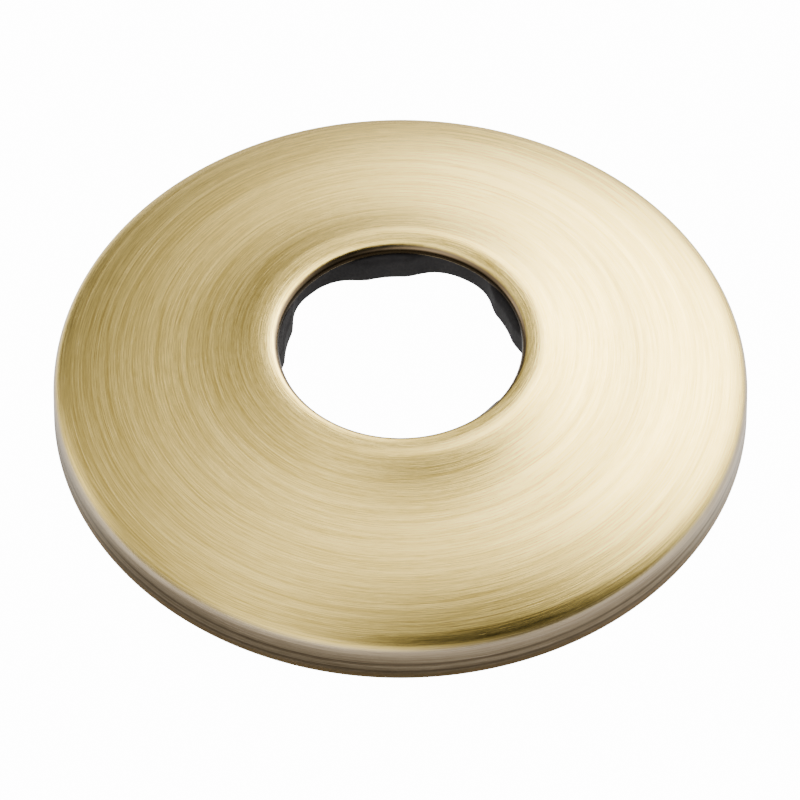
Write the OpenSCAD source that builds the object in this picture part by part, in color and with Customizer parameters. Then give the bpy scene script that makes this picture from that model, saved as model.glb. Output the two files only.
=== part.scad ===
// Wall flange: a drawn brass cover with a soft ring that grips the pipe.
// The back rests on the wall at z = 0, and the pipe comes out along +Z.

/* [Brass shell] */
// Outside diameter of the flange
flange_d = 63.5; // [60:0.5:76]
// Thickness of the brass sheet
sheet_t = 0.6; // [0.5:0.05:0.7]
// Height of the straight skirt above the wall
skirt_h = 3.05; // [2:0.05:6]
// Outside radius of the shoulder between the skirt and the dome
shoulder_r = 1.5; // [1.2:0.1:2.5]
// Slope of the dome where it leaves the shoulder, in degrees
dome_slope = 24; // [23:0.5:25.5]
// Radius of the dome's rounded outer part
dome_r = 42; // [40:1:45]
// Radius of the hollow curve between the dome and the collar
flare_r = 36.5; // [34:0.5:39]
// Rounding of the outer back edge
rim_round = 0.15; // [0.1:0.05:0.3]

/* [Collar] */
// Diameter of the hole in the brass that the pipe comes through
hole_d = 22.2; // [21.8:0.1:26]
// Straight land of the hole below the lip
land_h = 0.05; // [0.05:0.05:0.4]
// Outside radius of the lip that rolls into the hole
lip_r = 0.8; // [0.8:0.05:1.4]
// Radius of the collar's crown, from the lip out to the flank
crown_r = 4.4; // [4:0.2:5]
// How far the crown leans in towards the pipe before the lip takes over, in degrees
crown_lean = 8.5; // [4:0.5:12]
// Slope of the collar's flank, in degrees
flank_slope = 20.5; // [19.5:0.5:22]
// Length of the collar's straight flank
flank_l = 0.9; // [0.6:0.1:1.5]

/* [Grip ring] */
// Height of the soft ring
ring_h = 2.95; // [2.4:0.05:3.6]
// Diameter across the faces of the grip pads, free
pad_d = 21.1; // [20.7:0.1:21.3]
// Diameter of the ring's inside between the pads
valley_d = 23.55; // [23.05:0.1:23.95]
// Number of grip pads
pad_count = 5; // [3:1:5]
// Radius of a pad's rounded nose, seen along the pipe
nose_r = 18; // [14:1:24]
// How far the nose would reach past the pad's face if it weren't trimmed
nose_trim = 0.25; // [0.2:0.05:0.4]
// Radius where a pad runs out into the ring
root_r = 4.5; // [3:0.25:5.25]
// Direction of the first pad, in degrees from +X
pad_angle = 25; // [0:1:72]
// How far the tops of the pads lie below the hole's edge
pad_drop = 0.15; // [0.1:0.05:0.4]
// Bevel on the pads' upper edges, which leads the pipe in
pad_lead = 0.3; // [0.1:0.05:0.5]
// Bevel on the pads' lower edges
pad_bevel = 0.15; // [0.1:0.05:0.3]
// Width of the ring's seat on the cut edge of the brass
seat_w = 0.3; // [0.2:0.05:0.4]
// How far the ring's outer wall stays inside the end of the collar's flank
ring_clear = 0.1; // [0.05:0.05:0.3]

/* [Hidden] */

// How far the straight steps of an arc may stray from its circle
chord_error = 0.002;
// Steps of a full turn about the pipe's axis
turn_steps = 180;
// Extra length of a cut past the faces that it goes through
cut_over = 1;

brass = [0.76, 0.65, 0.42];
rubber = [0.13, 0.13, 0.14];

// Direction at an angle from +X
function along(angle) = [cos(angle), sin(angle)];
// Number of straight steps that keep an arc within chord_error
function steps_for(radius, sweep) = ceil(abs(sweep) / (2 * acos(1 - chord_error / radius)));
// Points of an arc between two directions; first is 1 where another arc ends at its start
function arc(centre, radius, from, to, first = 0) =
    let (steps = steps_for(radius, to - from))
    [for (i = [first : steps]) centre + radius * along(from + (to - from) * i / steps)];
// The same points in the opposite order
function reversed(points) = [for (i = [1 : len(points)]) points[len(points) - i]];

flange_r = flange_d / 2;
hole_r = hole_d / 2;

// Centres of the section's arcs, from the wall up to the hole
rim_c = [flange_r - rim_round, rim_round];
shoulder_c = [flange_r - shoulder_r, skirt_h];
dome_up = 90 - dome_slope;
dome_c = shoulder_c - (dome_r - shoulder_r) * along(dome_up);
flank_up = 90 - flank_slope;
flank_run = flank_l * along(-flank_slope);
// The dome stops where flare, flank, crown and lip, laid end to end, reach the hole
lip_up = 90 + crown_lean;
crown_x = hole_r + lip_r + (crown_r - lip_r) * sin(crown_lean);
flare_x = crown_x + flank_run[0] + (crown_r + flare_r) * sin(flank_slope);
join_up = acos((flare_x - dome_c[0]) / (dome_r + flare_r));
flare_c = dome_c + (dome_r + flare_r) * along(join_up);
crown_c = flare_c - (flare_r + crown_r) * along(flank_up) - flank_run;
lip_c = crown_c + (crown_r - lip_r) * along(lip_up);

// Lower edge of the hole, and the underside of the straight flank
land_z = lip_c[1] - land_h;
land_out = hole_r + sheet_t;
flank_in = crown_c + (crown_r - sheet_t) * along(flank_up);

// The ring's seat meets the hole's edge, and its back the flank
ring_r = flank_in[0] + flank_run[0] - ring_clear;
ring_back_z = flank_in[1] - (ring_r - flank_in[0]) * tan(flank_slope);
ring_bottom = land_z - ring_h;
seat_r = land_out - seat_w;
pad_top = land_z - pad_drop;
pad_r = pad_d / 2;
valley_r = valley_d / 2;

// Seen along the pipe, a pad is a nose with a hollow root on each side
nose_x = pad_r - nose_trim + nose_r;
root_x = valley_r - root_r;
root_turn = acos((pow(root_x, 2) + pow(nose_x, 2) - pow(nose_r + root_r, 2))
    / (2 * root_x * nose_x));
root_c = root_x * along(root_turn);
nose_turn = atan2(root_c[1], root_c[0] - nose_x);
pad_pitch = 360 / pad_count;

// One face of the sheet from the skirt to the hole, inset from the outer face
function sheet_face(inset) = concat(
    arc(shoulder_c, shoulder_r - inset, 0, dome_up),
    arc(dome_c, dome_r - inset, dome_up, join_up, 1),
    arc(flare_c, flare_r + inset, 180 + join_up, 180 + flank_up, 1),
    arc(crown_c, crown_r - inset, flank_up, lip_up),
    arc(lip_c, lip_r - inset, lip_up, 180, 1)
);

module flange_shell()
    color(brass)
        rotate_extrude($fn = turn_steps)
            polygon(concat(
                arc(rim_c, rim_round, -90, 0),
                sheet_face(0),
                [[hole_r, land_z], [land_out, land_z]],
                reversed(sheet_face(sheet_t)),
                [[flange_r - sheet_t, 0]]
            ));

// Section of the ring through a pad
module ring_section()
    polygon([
        [pad_r + pad_bevel, ring_bottom],
        [ring_r, ring_bottom],
        [ring_r, ring_back_z],
        flank_in,
        [land_out, land_z],
        [seat_r, land_z],
        [seat_r, pad_top],
        [pad_r + pad_lead, pad_top],
        [pad_r, pad_top - pad_lead],
        [pad_r, ring_bottom + pad_bevel]
    ]);

// Outline of a pad and of the valley after it, for a pad on +X
pad_outline = concat(
    arc([root_c[0], -root_c[1]], root_r, -root_turn, 180 - nose_turn, 1),
    arc([nose_x, 0], nose_r, 360 - nose_turn, nose_turn, 1),
    arc(root_c, root_r, nose_turn - 180, root_turn, 1),
    arc([0, 0], valley_r, root_turn, pad_pitch - root_turn, 1)
);

// Points turned about the pipe's axis
function turned(points, angle) = [
    for (p = points)
        [p[0] * cos(angle) - p[1] * sin(angle), p[0] * sin(angle) + p[1] * cos(angle)]
];

// What is open inside the ring, before its pads are trimmed to their faces
module ring_opening()
    rotate(pad_angle)
        polygon([
            for (i = [0 : pad_count - 1])
                each turned(pad_outline, i * pad_pitch)
        ]);

module grip_ring()
    color(rubber)
        difference() {
            rotate_extrude($fn = turn_steps)
                ring_section();
            translate([0, 0, ring_bottom - cut_over])
                linear_extrude(ring_h + 2 * cut_over)
                    ring_opening();
        }

flange_shell();
grip_ring();
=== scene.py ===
# %% [markdown]
# # A brushed brass wall flange
# The object is a round cover plate that hides the hole where a pipe leaves a wall. It has two pieces:
# a thin brass shell, drawn and then brushed in rings, and a black rubber ring that grips the pipe.
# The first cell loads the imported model. Everything else is placed from its sizes, in metres.

# %% Load the frame
import math
import bpy
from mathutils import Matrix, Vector


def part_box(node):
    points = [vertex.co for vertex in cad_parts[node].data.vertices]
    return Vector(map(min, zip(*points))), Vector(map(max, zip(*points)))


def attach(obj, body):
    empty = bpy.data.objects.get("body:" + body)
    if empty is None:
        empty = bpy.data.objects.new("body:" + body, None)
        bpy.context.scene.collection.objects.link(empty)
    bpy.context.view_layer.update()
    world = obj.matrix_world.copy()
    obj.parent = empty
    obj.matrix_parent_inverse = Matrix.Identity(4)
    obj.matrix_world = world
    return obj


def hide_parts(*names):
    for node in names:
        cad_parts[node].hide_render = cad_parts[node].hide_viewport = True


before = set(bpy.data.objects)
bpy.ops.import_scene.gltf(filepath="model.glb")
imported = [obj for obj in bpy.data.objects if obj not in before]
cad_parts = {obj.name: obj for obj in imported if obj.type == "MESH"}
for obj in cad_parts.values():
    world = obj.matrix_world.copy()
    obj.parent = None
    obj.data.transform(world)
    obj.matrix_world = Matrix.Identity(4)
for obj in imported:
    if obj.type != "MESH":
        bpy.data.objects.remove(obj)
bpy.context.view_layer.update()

MM = 0.001
print("pieces in the frame:", sorted(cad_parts))

# %% [markdown]
# ## Sizes
# The outside radius comes from the frame, and the height that follows from the section is compared
# with the frame's, so the pieces made here can't drift away from it. The radii and slopes repeat the
# ones that the shell was drawn with, because a mesh doesn't say what its arcs were. The shoulder is the
# one exception: brushing wears it, so here it starts a little earlier, and more gently, than the drawn
# radius does.

# %% Sizes of the shell
shell_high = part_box("flange_shell")[1]

FLANGE_R = shell_high.x
COLLAR_TOP = shell_high.z
SHEET_T = 0.6 * MM
SKIRT_H = 3.05 * MM
DRAWN_SHOULDER_R = 1.5 * MM
SHOULDER_R = 1.38 * MM
EASE_R = 5 * MM
DOME_SLOPE = math.radians(24)
DOME_R = 42 * MM
FLARE_R = 36.5 * MM
FLANK_SLOPE = math.radians(20.5)
FLANK_L = 0.9 * MM
CROWN_R = 4.4 * MM
CROWN_LEAN = math.radians(8.5)
LIP_R = 0.8 * MM
HOLE_R = 11.1 * MM
LAND_H = 0.05 * MM
print(f"shell {2 * FLANGE_R / MM:.1f} mm across and {COLLAR_TOP / MM:.2f} mm high")

# %% [markdown]
# ## The section of the shell
# A drawn sheet has one outer face that runs from the wall up the skirt, over a tight shoulder, up a
# shallow dome, through a hollow flare and a short straight flank into the collar, and down a rolled
# lip into the hole. Each stretch leaves in the direction in which the last one ends, so light runs
# over the joints without a break. Two arcs that meet like that have their centres on one line with
# the place where they meet, and that gives each centre from the one before.

# %% Points of an arc
QUARTER_TURN = math.pi / 2


def point_on(centre, radius, turn):
    """The point at a distance from a centre, in a direction from +X."""
    return centre[0] + radius * math.cos(turn), centre[1] + radius * math.sin(turn)


def arc(centre, radius, start, end, steps):
    """Points of an arc after its first one, between two directions from +X."""
    turns = [start + (end - start) * i / steps for i in range(1, steps + 1)]
    return [point_on(centre, radius, turn) for turn in turns]


# %% [markdown]
# The dome's centre follows from the drawn shoulder. The worn shoulder is a tighter arc at the same
# height, and the ease is a third arc between it and the dome that touches both from inside. The three
# centres make a triangle with known sides, and its angle at the dome tells where the dome ends.

# %% Centres of the dome, the shoulder and the ease between them
drawn_shoulder_c = (FLANGE_R - DRAWN_SHOULDER_R, SKIRT_H)
dome_c = point_on(drawn_shoulder_c, DRAWN_SHOULDER_R - DOME_R, QUARTER_TURN - DOME_SLOPE)
shoulder_c = (FLANGE_R - SHOULDER_R, SKIRT_H)

apart = math.dist(dome_c, shoulder_c)
to_ease, from_ease = DOME_R - EASE_R, EASE_R - SHOULDER_R
towards_shoulder = math.atan2(shoulder_c[1] - dome_c[1], shoulder_c[0] - dome_c[0])
dome_end = towards_shoulder + math.acos(
    (apart**2 + to_ease**2 - from_ease**2) / (2 * apart * to_ease)
)
ease_c = point_on(dome_c, to_ease, dome_end)
ease_end = math.atan2(shoulder_c[1] - ease_c[1], shoulder_c[0] - ease_c[0])
dome_end_r = point_on(dome_c, DOME_R, dome_end)[0]
print(f"the dome ends at radius {dome_end_r / MM:.2f} mm")

# %% Centres of the flare, the crown and the lip
flank_up = QUARTER_TURN - FLANK_SLOPE
lip_up = QUARTER_TURN + CROWN_LEAN
flank_run = FLANK_L * math.cos(FLANK_SLOPE)
flank_fall = FLANK_L * math.sin(FLANK_SLOPE)

crown_x = HOLE_R + LIP_R + (CROWN_R - LIP_R) * math.sin(CROWN_LEAN)
flare_x = crown_x + flank_run + (CROWN_R + FLARE_R) * math.sin(FLANK_SLOPE)
join_up = math.acos((flare_x - dome_c[0]) / (DOME_R + FLARE_R))
flare_c = (flare_x, dome_c[1] + (DOME_R + FLARE_R) * math.sin(join_up))
crown_c = (crown_x, flare_c[1] - (FLARE_R + CROWN_R) * math.sin(flank_up) + flank_fall)
lip_c = point_on(crown_c, CROWN_R - LIP_R, lip_up)
print(f"crown's highest ring at radius {crown_x / MM:.2f} mm")

# %% [markdown]
# The list holds a radius and a height for each ring of the mesh, from the wall to the hole. Tight arcs
# get shorter steps than wide ones, because that is where light changes fastest.

# %% Rings of the outer face
SKIRT_STEPS = 6
SHOULDER_STEPS = 14
EASE_STEPS = 6
DOME_STEPS = 16
FLARE_STEPS = 12
CROWN_STEPS = 14
LIP_STEPS = 14

outer_face = [(FLANGE_R, SKIRT_H * i / SKIRT_STEPS) for i in range(SKIRT_STEPS + 1)]
outer_face += arc(shoulder_c, SHOULDER_R, 0, ease_end, SHOULDER_STEPS)
outer_face += arc(ease_c, EASE_R, ease_end, dome_end, EASE_STEPS)
outer_face += arc(dome_c, DOME_R, dome_end, join_up, DOME_STEPS)
outer_face += arc(flare_c, FLARE_R, math.pi + join_up, math.pi + flank_up, FLARE_STEPS)
outer_face += arc(crown_c, CROWN_R, flank_up, lip_up, CROWN_STEPS)
outer_face += arc(lip_c, LIP_R, lip_up, math.pi, LIP_STEPS)
outer_face.append((HOLE_R, lip_c[1] - LAND_H))

section_top = max(z for r, z in outer_face)
print(f"{len(outer_face)} rings, top off the frame by {(section_top - COLLAR_TOP) / MM:.4f} mm")

# %% [markdown]
# ## Helpers for modelling
# Blender's operators act on whatever is selected, so each step starts by deselecting everything, and
# then marks its own faces or edges by where they lie. These few helpers keep that in one place.

# %% Selection helpers
def only(piece):
    """Makes one piece the active and only selected object."""
    bpy.ops.object.select_all(action="DESELECT")
    piece.select_set(True)
    bpy.context.view_layer.objects.active = piece


def edges_where(piece, test):
    """Selects the edges of a piece whose two ends both pass a test, and says how many."""
    mesh = piece.data
    for group in (mesh.polygons, mesh.vertices):
        group.foreach_set("select", [False] * len(group))
    passed = [test(v.co) for v in mesh.vertices]
    flags = [passed[e.vertices[0]] and passed[e.vertices[1]] for e in mesh.edges]
    mesh.edges.foreach_set("select", flags)
    return sum(flags)


def in_edit_mode(piece, kind):
    """Opens a piece in edit mode for its edges, vertices or faces."""
    only(piece)
    bpy.ops.object.mode_set(mode="EDIT")
    bpy.ops.mesh.select_mode(type=kind)


def out_of_edit_mode():
    """Goes back to object mode, which writes the edits to the mesh."""
    bpy.ops.object.mode_set(mode="OBJECT")


# %% Modifier and ring helpers
RING_SLACK = 0.01 * MM


def apply_modifier(piece, kind, **values):
    """Adds a modifier, sets its values and applies it."""
    only(piece)
    modifier = piece.modifiers.new(kind.lower(), kind)
    for name, value in values.items():
        setattr(modifier, name, value)
    bpy.ops.object.modifier_apply(modifier=modifier.name)


def ring_test(radius, height):
    """A test that is true for points on one ring about the pipe's axis."""
    def test(point):
        off_radius = abs(math.hypot(point.x, point.y) - radius)
        return off_radius < RING_SLACK and abs(point.z - height) < RING_SLACK
    return test


# %% [markdown]
# ## The brass shell
# The real shell is spun or pressed from one sheet. The same thing is done here: a plain circle at the
# wall is extruded ring after ring, each ring scaled to its radius, until it reaches the hole. That
# gives one skin with no seam. The CAD solid is right too, but its dome is made of cones, and a brushed
# finish shows each change of slope as a band, so this smoother skin stands for it.

# %% Raise the skin ring by ring
TURN_STEPS = 360
SAME_RADIUS = 1e-9
SKIN_WELD = 0.001 * MM

bpy.ops.object.select_all(action="DESELECT")
bpy.ops.mesh.primitive_circle_add(vertices=TURN_STEPS, radius=FLANGE_R, fill_type="NOTHING")
shell = bpy.context.active_object
shell.name = "brass_shell"
shell.data.name = "brass_shell"

in_edit_mode(shell, "EDGE")
bpy.ops.mesh.select_all(action="SELECT")
for (r0, z0), (r1, z1) in zip(outer_face, outer_face[1:]):
    bpy.ops.mesh.extrude_region_move(TRANSFORM_OT_translate={"value": (0, 0, z1 - z0)})
    if abs(r1 - r0) > SAME_RADIUS:
        bpy.ops.transform.resize(value=(r1 / r0, r1 / r0, 1), center_override=(0, 0, z1))
bpy.ops.mesh.select_all(action="SELECT")
bpy.ops.mesh.remove_doubles(threshold=SKIN_WELD)
bpy.ops.mesh.normals_make_consistent(inside=False)
out_of_edit_mode()
print(f"skin: {len(shell.data.polygons)} faces")

# %% [markdown]
# Solidify gives the skin the thickness of the sheet, inwards, so the outside stays on the section. The
# faces' normals decide which way inwards is, so they are looked at first: the skin is open at both
# ends, and there the operator can't know for certain which side is outside.

# %% Give the sheet its thickness
def points_outwards(piece):
    """True if the faces of an upright round skin look away from the inside of the dome."""
    return sum(p.normal.z * p.area for p in piece.data.polygons) > 0


if not points_outwards(shell):
    in_edit_mode(shell, "FACE")
    bpy.ops.mesh.select_all(action="SELECT")
    bpy.ops.mesh.flip_normals()
    out_of_edit_mode()

apply_modifier(shell, "SOLIDIFY", thickness=SHEET_T, offset=-1, use_even_offset=True)
print(f"sheet {SHEET_T / MM:.1f} mm thick, {len(shell.data.polygons)} faces")

# %% [markdown]
# A cut sheet has a sharp edge only until it is deburred. The outer back edge of the skirt is rounded
# well, because hands touch it. The inner one, and the lower edge of the hole, are just broken.

# %% Round the cut edges
RIM_ROUND = 0.15 * MM
EDGE_BREAK = 0.04 * MM
SMOOTH_UP_TO = math.radians(35)


def round_edge(piece, radius, height, width, segments):
    """Bevels the one ring of edges at a radius and a height."""
    found = edges_where(piece, ring_test(radius, height))
    in_edit_mode(piece, "EDGE")
    bpy.ops.mesh.bevel(offset=width, segments=segments, profile=0.5, affect="EDGES")
    out_of_edit_mode()
    print(f"edge at radius {radius / MM:.2f} mm: {found} edges rounded by {width / MM:.2f} mm")


hole_edge_z = outer_face[-1][1]
round_edge(shell, FLANGE_R, 0, RIM_ROUND, segments=4)
round_edge(shell, FLANGE_R - SHEET_T, 0, EDGE_BREAK, segments=2)
round_edge(shell, HOLE_R, hole_edge_z, EDGE_BREAK, segments=2)

only(shell)
bpy.ops.object.shade_smooth_by_angle(angle=SMOOTH_UP_TO)

# %% [markdown]
# ## The grip ring
# The ring is moulded in soft rubber. Its five pads are exact in the CAD solid, because a pipe's fit
# depends on them, so the mesh starts as a copy of that solid. A moulding has no knife edges, though.
# The copy's loose triangles are merged, a voxel remesh lays an even net of small faces over it, and
# rounds of smoothing roll every edge over, while the broad faces stay where they are.

# %% Copy the ring and soften its edges
RING_WELD = 0.002 * MM
RUBBER_NET = 0.12 * MM
RUBBER_SMOOTHING = 34

only(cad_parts["grip_ring"])
bpy.ops.object.duplicate()
ring = bpy.context.active_object
ring.name = "rubber_ring"
ring.data.name = "rubber_ring"
for key in [k for k in ring.keys() if k.startswith("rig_")]:
    del ring[key]

in_edit_mode(ring, "FACE")
bpy.ops.mesh.select_all(action="SELECT")
bpy.ops.mesh.customdata_custom_splitnormals_clear()
bpy.ops.mesh.remove_doubles(threshold=RING_WELD)
out_of_edit_mode()
apply_modifier(ring, "REMESH", mode="VOXEL", voxel_size=RUBBER_NET, adaptivity=0)
apply_modifier(ring, "SMOOTH", factor=0.5, iterations=RUBBER_SMOOTHING)
only(ring)
bpy.ops.object.shade_smooth()
print(f"ring: {len(ring.data.polygons)} faces")

# %% [markdown]
# ## Helpers for materials
# A material is a tree of nodes, and each node takes a few values and gives one back. These helpers add
# a node, join it up and return its result, so that a finish can be written like a sum.

# %% Helpers that start a tree
def new_material(name):
    """A material, its node tree and its Principled surface."""
    material = bpy.data.materials.new(name)
    material.use_nodes = True
    tree = material.node_tree
    return material, tree, tree.nodes["Principled BSDF"]


def new_group(name, inputs, outputs):
    """A shader node group with named number sockets, and its input and output nodes."""
    tree = bpy.data.node_groups.new(name, "ShaderNodeTree")
    for side, labels in (("INPUT", inputs), ("OUTPUT", outputs)):
        for label in labels:
            tree.interface.new_socket(label, in_out=side, socket_type="NodeSocketFloat")
    return tree, tree.nodes.new("NodeGroupInput"), tree.nodes.new("NodeGroupOutput")


def object_place(tree):
    """The coordinates node, and the X, Y and Z of a place on the object."""
    place = tree.nodes.new("ShaderNodeTexCoord")
    parts = tree.nodes.new("ShaderNodeSeparateXYZ")
    tree.links.new(place.outputs["Object"], parts.inputs[0])
    return place, parts.outputs


# %% Helpers that work out values and colours
def feed(tree, value, socket):
    """Links a socket, or sets a plain value."""
    if isinstance(value, bpy.types.NodeSocket):
        tree.links.new(value, socket)
    else:
        socket.default_value = value


def maths(tree, operation, *values):
    """The result of one sum on numbers."""
    node = tree.nodes.new("ShaderNodeMath")
    node.operation = operation
    for value, socket in zip(values, node.inputs):
        feed(tree, value, socket)
    return node.outputs[0]


def length_of(tree, vector):
    """The length of a vector."""
    node = tree.nodes.new("ShaderNodeVectorMath")
    node.operation = "LENGTH"
    tree.links.new(vector, node.inputs[0])
    return node.outputs["Value"]


def span(tree, value, from_low, from_high, to_low=0.0, to_high=1.0, kind="LINEAR"):
    """Maps one range of values to another, and holds it at the ends."""
    node = tree.nodes.new("ShaderNodeMapRange")
    node.interpolation_type = kind
    for number, name in zip(
        (value, from_low, from_high, to_low, to_high),
        ("Value", "From Min", "From Max", "To Min", "To Max"),
    ):
        feed(tree, number, node.inputs[name])
    return node.outputs["Result"]


def blend(tree, share, first, second):
    """Mixes two colours."""
    node = tree.nodes.new("ShaderNodeMix")
    node.data_type = "RGBA"
    feed(tree, share, node.inputs["Factor"])
    feed(tree, first, node.inputs["A"])
    feed(tree, second, node.inputs["B"])
    return node.outputs["Result"]


def relief(tree, surface, height, strength, depth):
    """Bumps a surface by a pattern of heights."""
    bump = tree.nodes.new("ShaderNodeBump")
    bump.inputs["Strength"].default_value = strength
    bump.inputs["Distance"].default_value = depth
    tree.links.new(height, bump.inputs["Height"])
    tree.links.new(bump.outputs[0], surface.inputs["Normal"])


# %% [markdown]
# ## Brushing marks
# A brush or an abrasive belt leaves fine strokes that run round the axis. Each stroke is long one way
# and very thin the other, so a noise is squeezed hard across the strokes and left long along them.
# The group turns a place into an angle and a distance across the strokes, measured down the section,
# so that the same marks run over the dome and the skirt. It is a group because it is used four times,
# with other values each time.

# %% The group of brushing marks
MARKS_DETAIL = 1.0
MARKS_ROUGHNESS = 0.6
LEAST_RADIUS = 0.01 * MM


def brushing_group():
    """Builds the group that gives the strokes about one centre."""
    labels = ("Across", "Along", "Centre X", "Centre Y", "Seed")
    tree, given, out = new_group("brushing_marks", labels, ("Marks",))
    parts = object_place(tree)[1]
    x = maths(tree, "SUBTRACT", parts["X"], given.outputs["Centre X"])
    y = maths(tree, "SUBTRACT", parts["Y"], given.outputs["Centre Y"])
    radius = maths(tree, "SQRT", maths(tree, "MULTIPLY_ADD", x, x, maths(tree, "MULTIPLY", y, y)))
    radius = maths(tree, "MAXIMUM", radius, LEAST_RADIUS)
    spot = tree.nodes.new("ShaderNodeCombineXYZ")
    for value, axis in ((x, "X"), (y, "Y")):
        turn = maths(tree, "DIVIDE", value, radius)
        tree.links.new(maths(tree, "MULTIPLY", turn, given.outputs["Along"]), spot.inputs[axis])
    down = maths(tree, "SUBTRACT", radius, parts["Z"])
    across = maths(tree, "MULTIPLY", down, given.outputs["Across"])
    tree.links.new(maths(tree, "ADD", across, given.outputs["Seed"]), spot.inputs["Z"])
    noise = tree.nodes.new("ShaderNodeTexNoise")
    noise.inputs["Scale"].default_value = 1.0
    noise.inputs["Detail"].default_value = MARKS_DETAIL
    noise.inputs["Roughness"].default_value = MARKS_ROUGHNESS
    tree.links.new(spot.outputs[0], noise.inputs["Vector"])
    tree.links.new(noise.outputs["Fac"], out.inputs["Marks"])
    return tree


brushing = brushing_group()
print(f"brushing marks: a group of {len(brushing.nodes)} nodes")

# %% [markdown]
# One layer of strokes is about the true axis. The others are turned about a centre a little to one
# side, because a hand-held brush never runs quite true, and its strokes cross. A layer is given by how
# many marks there are per metre across the strokes, how often they break along them, its centre in
# metres, and a seed that makes it differ from the others.

# %% Layers of strokes
LONG_MARKS = (13000, 0.9, (0, 0), 0)
CROSSING_MARKS = (10500, 3.6, (0.55 * MM, 0.35 * MM), 7)
SHORT_MARKS = (9500, 15.0, (-0.4 * MM, 0.5 * MM), 31)
BROAD_MARKS = (1500, 0.9, (-0.6 * MM, 0.8 * MM), 19)
STROKE_SHARES = ((LONG_MARKS, 0.4), (CROSSING_MARKS, 0.35), (SHORT_MARKS, 0.25))
BROAD_SHARE = 0.2


def marks(tree, layer):
    """One layer of marks."""
    across, along, centre, seed = layer
    node = tree.nodes.new("ShaderNodeGroup")
    node.node_tree = brushing
    for socket, value in zip(node.inputs, (across, along, centre[0], centre[1], seed)):
        socket.default_value = value
    return node.outputs["Marks"]


def all_strokes(tree):
    """The three fine layers, added up by their shares."""
    total = 0
    for layer, share in STROKE_SHARES:
        total = maths(tree, "MULTIPLY_ADD", marks(tree, layer), share, total)
    return total


# %% [markdown]
# ## Brushed, aged brass
# Brass is a metal, so its colour is the colour of what it reflects. The finish is an aged one: the dome
# is brushed back to bright brass, and the strokes stay a little darker. Where the lip turns down into
# the hole it is painted brown, a painted dark reflection, and at the seam with the rubber it is painted
# almost black, a painted shadow of the gap under the lip. The radius tells these apart. Each pair of
# values is where a painted tint starts and where it is full.

# %% Colour of the dome and the lip
STROKE_SPAN = (0.4, 0.6)
BRASS_BRIGHT = (0.98, 0.77, 0.3, 1)
BRASS_SHADED = (0.61, 0.455, 0.145, 1)
# Painted dark reflection: the lip is painted brown where it turns down into the hole.
LIP_PAINTED_REFLECTION = (0.27, 0.205, 0.13, 1)
LIP_REFLECTION_BAND = (HOLE_R + 0.48 * MM, HOLE_R + 0.3 * MM)
# Painted shadow: the seam under the lip is painted almost black.
SEAM_PAINTED_SHADOW = (0.045, 0.032, 0.018, 1)
SEAM_SHADOW_BAND = (HOLE_R + 0.2 * MM, HOLE_R + 0.07 * MM)


def dome_colour(tree, parts, strokes):
    """Bright brass with darker strokes, a painted brown reflection on the lip and a painted black
    shadow at the seam.
    """
    fine = maths(tree, "MULTIPLY", strokes, 1 - BROAD_SHARE)
    tone = maths(tree, "MULTIPLY_ADD", marks(tree, BROAD_MARKS), BROAD_SHARE, fine)
    colour = blend(tree, span(tree, tone, *STROKE_SPAN), BRASS_SHADED, BRASS_BRIGHT)
    flat = tree.nodes.new("ShaderNodeCombineXYZ")
    for axis in "XY":
        tree.links.new(parts[axis], flat.inputs[axis])
    radius = length_of(tree, flat.outputs[0])
    # The lip's painted reflection and the seam's painted shadow are laid on by radius.
    for limits, tint in ((LIP_REFLECTION_BAND, LIP_PAINTED_REFLECTION), (SEAM_SHADOW_BAND, SEAM_PAINTED_SHADOW)):
        colour = blend(tree, span(tree, radius, *limits, kind="SMOOTHSTEP"), colour, tint)
    return colour


# %% [markdown]
# The skirt keeps its grey-brown tint, with two darker lines where the tool dwelt, and its foot is
# painted darker and browner, as painted shade of the floor it reflects under the flange. Just below the
# shoulder the tint is painted a little paler, as a painted highlight. Here the height above the wall
# tells one from another. A line has a height, half a width and a strength.

# %% Colour of the skirt
SKIRT_DARK = (0.29, 0.235, 0.155, 1)
SKIRT_PALE = (0.55, 0.47, 0.35, 1)
# Painted highlight: the top of the skirt, just below the shoulder, is painted paler.
SKIRT_PAINTED_HIGHLIGHT = (0.62, 0.52, 0.39, 1)
HIGHLIGHT_FROM = 2.1 * MM
HIGHLIGHT_SHARE = 0.4
# Painted shade: the foot of the skirt is painted darker and browner.
FOOT_PAINTED_SHADE = (0.36, 0.265, 0.15, 1)
FOOT_SHADE_BAND = (0.8 * MM, 0.56 * MM)
FOOT_SHADE_SHARE = 0.7
LINE_BROWN = (0.15, 0.115, 0.07, 1)
TURNED_LINES = ((1.97 * MM, 0.3 * MM, 0.68), (1.0 * MM, 0.3 * MM, 0.68))


def skirt_colour(tree, height, strokes):
    """Aged brass with darker strokes, a painted highlight at the top, painted shade at the foot, with
    two turned lines.
    """
    colour = blend(tree, span(tree, strokes, *STROKE_SPAN), SKIRT_DARK, SKIRT_PALE)
    # The paler top is a painted highlight and the browner foot is painted shade.
    painted_highlight = span(tree, height, HIGHLIGHT_FROM, SKIRT_H, 0.0, HIGHLIGHT_SHARE)
    colour = blend(tree, painted_highlight, colour, SKIRT_PAINTED_HIGHLIGHT)
    foot = span(tree, height, *FOOT_SHADE_BAND, 0.0, FOOT_SHADE_SHARE)
    colour = blend(tree, foot, colour, FOOT_PAINTED_SHADE)
    for line_z, half_width, strength in TURNED_LINES:
        away = maths(tree, "ABSOLUTE", maths(tree, "SUBTRACT", height, line_z))
        line = span(tree, away, half_width, 0, 0.0, strength, kind="SMOOTHSTEP")
        colour = blend(tree, line, colour, LINE_BROWN)
    return colour


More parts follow.
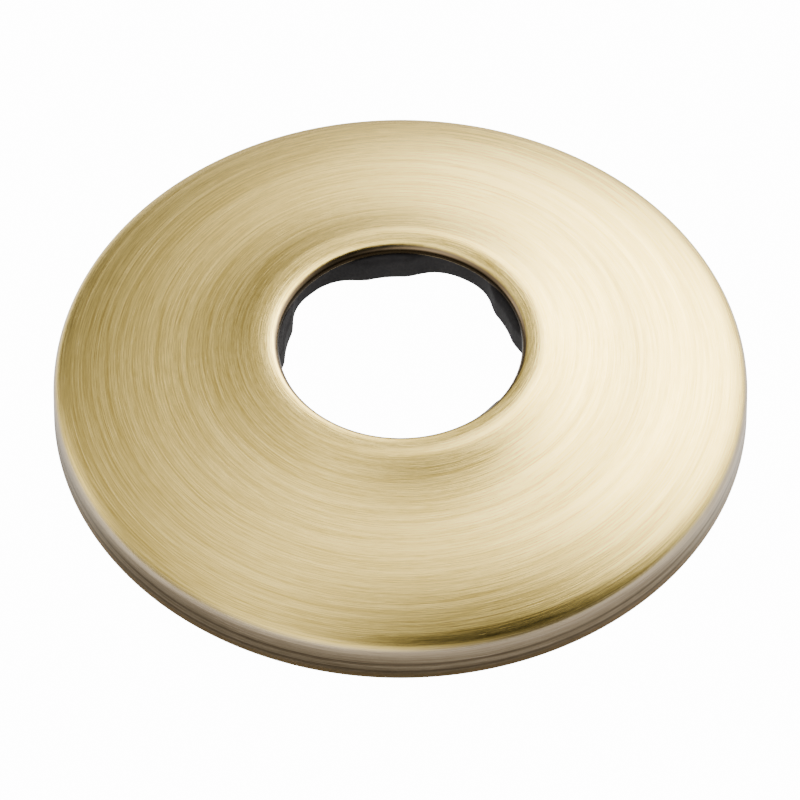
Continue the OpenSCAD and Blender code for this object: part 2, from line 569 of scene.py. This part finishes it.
# %% [markdown]
# Brushing makes the highlight wide across the strokes and narrow along them. Anisotropic does that, but
# it blurs along the tangent, and the tangent here runs round the axis with the strokes, so it is turned
# by a quarter. The strokes also change the roughness and the relief a little. The inside was never
# polished, so faces that look down get a duller, raw brass.

# %% Brushed brass material
SKIRT_TINT = (SKIRT_H + 1.04 * MM, SKIRT_H + 0.5 * MM)
BRASS_RAW = (0.60, 0.47, 0.25, 1)
RAW_NORMAL = (0.0, -0.2)
STRETCH = 0.75
ACROSS_THE_STROKES = 0.25
BRASS_ROUGHNESS = (0.18, 0.29)
STROKE_DEPTH = 0.013 * MM


def brushed_brass():
    """The finish of the shell."""
    material, tree, surface = new_material("brushed_aged_brass")
    place, parts = object_place(tree)
    strokes = all_strokes(tree)
    aged = span(tree, parts["Z"], *SKIRT_TINT, kind="SMOOTHSTEP")
    dome = dome_colour(tree, parts, strokes)
    outside = blend(tree, aged, dome, skirt_colour(tree, parts["Z"], strokes))
    facing = tree.nodes.new("ShaderNodeSeparateXYZ")
    tree.links.new(place.outputs["Normal"], facing.inputs[0])
    raw = span(tree, facing.outputs["Z"], *RAW_NORMAL)
    feed(tree, blend(tree, raw, outside, BRASS_RAW), surface.inputs["Base Color"])

    tangent = tree.nodes.new("ShaderNodeTangent")
    tangent.direction_type = "RADIAL"
    tangent.axis = "Z"
    tree.links.new(tangent.outputs[0], surface.inputs["Tangent"])
    surface.inputs["Metallic"].default_value = 1.0
    surface.inputs["Anisotropic"].default_value = STRETCH
    surface.inputs["Anisotropic Rotation"].default_value = ACROSS_THE_STROKES
    feed(tree, span(tree, strokes, 0.3, 0.7, *BRASS_ROUGHNESS), surface.inputs["Roughness"])
    relief(tree, surface, strokes, 1.0, STROKE_DEPTH)
    print(f"{material.name}: {len(tree.nodes)} nodes")
    return material


shell.data.materials.clear()
shell.data.materials.append(brushed_brass())

# %% [markdown]
# ## Rubber
# The ring is carbon-black rubber. It is never quite black: a dusty bloom lies on it in clouds, and its
# skin copies the fine texture of the mould, so it has no clear highlight.

# %% Rubber material
RUBBER = (0.025, 0.023, 0.023, 1)
RUBBER_BLOOM = (0.039, 0.036, 0.036, 1)
BLOOM_SCALE = 420
BLOOM_SPAN = (0.35, 0.7)
GRAIN_SCALE = 5200
GRAIN_DETAIL = 3
GRAIN_DEPTH = 0.02 * MM
GRAIN_STRENGTH = 0.4
RUBBER_ROUGHNESS = (0.62, 0.8)
RUBBER_SHINE = 0.35


def soft_rubber():
    """The finish of the ring."""
    material, tree, surface = new_material("matt_black_rubber")
    place = tree.nodes.new("ShaderNodeTexCoord")
    grain = tree.nodes.new("ShaderNodeTexNoise")
    grain.inputs["Scale"].default_value = GRAIN_SCALE
    grain.inputs["Detail"].default_value = GRAIN_DETAIL
    cloud = tree.nodes.new("ShaderNodeTexNoise")
    cloud.inputs["Scale"].default_value = BLOOM_SCALE
    for noise in (grain, cloud):
        tree.links.new(place.outputs["Object"], noise.inputs["Vector"])
    bloom = span(tree, cloud.outputs["Fac"], *BLOOM_SPAN)
    feed(tree, blend(tree, bloom, RUBBER, RUBBER_BLOOM), surface.inputs["Base Color"])
    rough = span(tree, grain.outputs["Fac"], 0.3, 0.7, *RUBBER_ROUGHNESS)
    feed(tree, rough, surface.inputs["Roughness"])
    surface.inputs["Specular IOR Level"].default_value = RUBBER_SHINE
    relief(tree, surface, grain.outputs["Fac"], GRAIN_STRENGTH, GRAIN_DEPTH)
    print(f"{material.name}: {len(tree.nodes)} nodes")
    return material


ring.data.materials.clear()
ring.data.materials.append(soft_rubber())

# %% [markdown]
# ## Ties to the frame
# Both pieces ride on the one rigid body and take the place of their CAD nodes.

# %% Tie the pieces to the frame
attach(shell, "root")
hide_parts("flange_shell")
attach(ring, "root")
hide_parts("grip_ring")

# %% [markdown]
# ## Floor
# The photograph's ground is blank white. The floor looks white to the camera, and stays pale grey in
# what the metal reflects, with a white card to either side that lights the ends of the skirt, as when
# a photographer lays cards round a shiny piece. It is clear from below, and for the light that falls
# on the part's own footprint, so that the open back can be looked at too.

# %% The floor's plane
FLOOR_SIDE = 3.0
FLOOR_DROP = 0.01 * MM

bpy.ops.object.select_all(action="DESELECT")
bpy.ops.mesh.primitive_plane_add(size=FLOOR_SIDE, location=(0, 0, -FLOOR_DROP))
floor = bpy.context.active_object
floor.name = "floor"
print(f"floor {FLOOR_SIDE} m square")

# %% The floor's finish
FLOOR_WHITE = 7.0
FLOOR_GREY = (0.63, 0.61, 0.59, 1)
FLOOR_ROUGHNESS = 0.9
CARD_WHITE = (1, 1, 1, 1)
CARD_EDGE = (25 * MM, 32 * MM)
FOOTPRINT_EDGE = (FLANGE_R, FLANGE_R - 0.05 * MM)


def floor_surface(tree, surface, parts):
    """Sets the grey that reflections see, and the white cards."""
    aside = maths(tree, "ABSOLUTE", parts["X"])
    card = span(tree, aside, *CARD_EDGE, kind="SMOOTHSTEP")
    feed(tree, blend(tree, card, FLOOR_GREY, CARD_WHITE), surface.inputs["Base Color"])
    surface.inputs["Roughness"].default_value = FLOOR_ROUGHNESS
    surface.inputs["Specular IOR Level"].default_value = 0.0


def mix_shader(tree, share, first, second):
    """Mixes two shaders."""
    node = tree.nodes.new("ShaderNodeMixShader")
    for value, socket in zip((share, first, second), node.inputs):
        tree.links.new(value, socket)
    return node.outputs[0]


def floor_finish():
    """White to the camera, grey to the metal, and clear from below and under the part."""
    material, tree, surface = new_material("pale_floor")
    place, parts = object_place(tree)
    floor_surface(tree, surface, parts)
    rays = tree.nodes.new("ShaderNodeLightPath")
    side = tree.nodes.new("ShaderNodeNewGeometry")
    white = tree.nodes.new("ShaderNodeEmission")
    white.inputs["Strength"].default_value = FLOOR_WHITE
    clear = tree.nodes.new("ShaderNodeBsdfTransparent")
    seen = mix_shader(tree, rays.outputs["Is Camera Ray"], surface.outputs[0], white.outputs[0])
    covered = span(tree, length_of(tree, place.outputs["Object"]), *FOOTPRINT_EDGE)
    unseen = maths(tree, "SUBTRACT", 1, rays.outputs["Is Camera Ray"])
    open_way = maths(tree, "MULTIPLY", covered, unseen)
    open_way = maths(tree, "MAXIMUM", open_way, side.outputs["Backfacing"])
    result = mix_shader(tree, open_way, seen, clear.outputs[0])
    tree.links.new(result, tree.nodes["Material Output"].inputs["Surface"])
    return material


floor.data.materials.append(floor_finish())

# %% [markdown]
# ## Light
# The metal in the photograph is pale cream on the right and olive on the left, with no hard edge
# between, so it stood in a soft tent with broad lights behind and to the right of it. A world does the
# same. Its brightness, as a power of e, is a level that leans one way, plus a few soft patches: a
# patch with a positive amount is a lamp behind the cloth, and one with a negative amount is a dark
# gap in the tent, such as the one where the camera stands. A patch has a direction, a tightness and an
# amount. A cap keeps the lamps from burning out. Below the horizon the light is even. It comes up only
# through the part's footprint, so it shows on the open back.

# %% Light tent
TENT_LEVEL = 1.437
TENT_LEAN = (3.140, -2.121, 1.187)
TENT_MOST = 6.51
TENT_PATCHES = (
    ("front right gap", (0.777, -0.580, 0.243), 1.85, -7.0),
    ("left lamp", (-0.938, 0.305, 0.167), 11.42, 3.068),
    ("back gap", (0.060, 0.662, 0.747), 21.05, -6.391),
    ("back lamp", (0.197, 0.696, 0.690), 10.80, 7.0),
    ("top gap", (0.281, -0.358, 0.890), 11.24, -4.555),
)
BELOW_LEVEL = 1.0
HORIZON_EDGE = 0.05


def light_tent():
    """A world that lights the part like a cloth tent."""
    world = bpy.data.worlds.new("light_tent")
    world.use_nodes = True
    tree = world.node_tree
    sky = tree.nodes["Background"]
    place = tree.nodes.new("ShaderNodeTexCoord")

    def towards(direction):
        node = tree.nodes.new("ShaderNodeVectorMath")
        node.operation = "DOT_PRODUCT"
        tree.links.new(place.outputs["Generated"], node.inputs[0])
        node.inputs[1].default_value = direction
        return node.outputs["Value"]

    power = maths(tree, "ADD", towards(TENT_LEAN), TENT_LEVEL)
    for name, direction, tightness, amount in TENT_PATCHES:
        fall = maths(tree, "MULTIPLY_ADD", towards(direction), tightness, -tightness)
        power = maths(tree, "MULTIPLY_ADD", maths(tree, "EXPONENT", fall), amount, power)
        print(f"{name}: {amount:+.2f} within {math.degrees(math.sqrt(2 / tightness)):.0f} degrees")
    level = maths(tree, "EXPONENT", power)
    capped = maths(tree, "DIVIDE", level, maths(tree, "MULTIPLY_ADD", level, 1 / TENT_MOST, 1))
    below = span(tree, towards((0, 0, 1)), 0.0, -HORIZON_EDGE)
    change = maths(tree, "SUBTRACT", BELOW_LEVEL, capped)
    feed(tree, maths(tree, "MULTIPLY_ADD", below, change, capped), sky.inputs["Strength"])
    sky.inputs["Color"].default_value = (1, 1, 1, 1)
    return world


bpy.context.scene.world = light_tent()

# %% [markdown]
# ## Camera
# The rings of the flange show as nearly perfect ellipses, so the lens was long and far away. The
# height of the view above the wall plane follows from how flat the ellipses are.

# %% Camera
VIEW_UP = math.radians(50.37)
VIEW_FAR = 1.5
FRAME_PX = 800
PX_PER_MM = 10.93
SENSOR = 36.0
CLIP_NEAR = 0.01
CLIP_FAR = 10
AIM = Vector((-0.034, 0, 3.0)) * MM
AIM_DROP = 12.7 / PX_PER_MM * MM

back = Vector((0, -math.cos(VIEW_UP), math.sin(VIEW_UP)))
up = Vector((0, math.sin(VIEW_UP), math.cos(VIEW_UP)))

bpy.ops.object.select_all(action="DESELECT")
bpy.ops.object.camera_add(location=AIM - up * AIM_DROP + back * VIEW_FAR)
camera = bpy.context.active_object
camera.rotation_euler = back.to_track_quat("Z", "Y").to_euler()
camera.data.sensor_width = SENSOR
camera.data.lens = VIEW_FAR / MM * PX_PER_MM * SENSOR / FRAME_PX
camera.data.clip_start = CLIP_NEAR
camera.data.clip_end = CLIP_FAR
scene = bpy.context.scene
scene.camera = camera
scene.view_settings.view_transform = "AgX"
scene.view_settings.look = "AgX - Medium High Contrast"
print(f"lens {camera.data.lens:.0f} mm at {VIEW_FAR} m, {math.degrees(VIEW_UP):.1f} degrees up")
